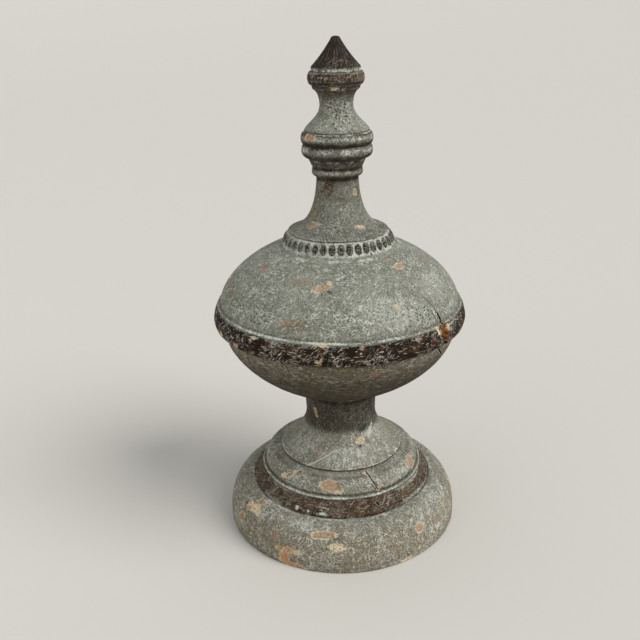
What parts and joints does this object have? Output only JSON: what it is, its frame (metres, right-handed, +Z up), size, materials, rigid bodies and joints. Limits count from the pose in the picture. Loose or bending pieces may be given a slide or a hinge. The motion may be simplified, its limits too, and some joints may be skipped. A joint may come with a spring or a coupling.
{
  "type": "turned spire finial",
  "caption": "Turned wooden spire finial with domed foot, bell, banded bulb, beaded collar and ringed pointed spire, in worn grey paint.",
  "frame": {"origin": "centre of the flat underside, on the surface that the finial stands on", "axes": "+Z up along the turning axis to the tip; the pictured side faces -Y, and the break in the rim band is turned 51 degrees from -Y towards +X"},
  "size_m": [0.184, 0.184, 0.36],
  "materials": {
    "painted_wood": "chalky grey-green paint with white dry-brushing, dark brown bands and worn chips, matte"
  },
  "bodies": {
    "root": {"finial": "painted_wood"}
  },
  "joints": []
}
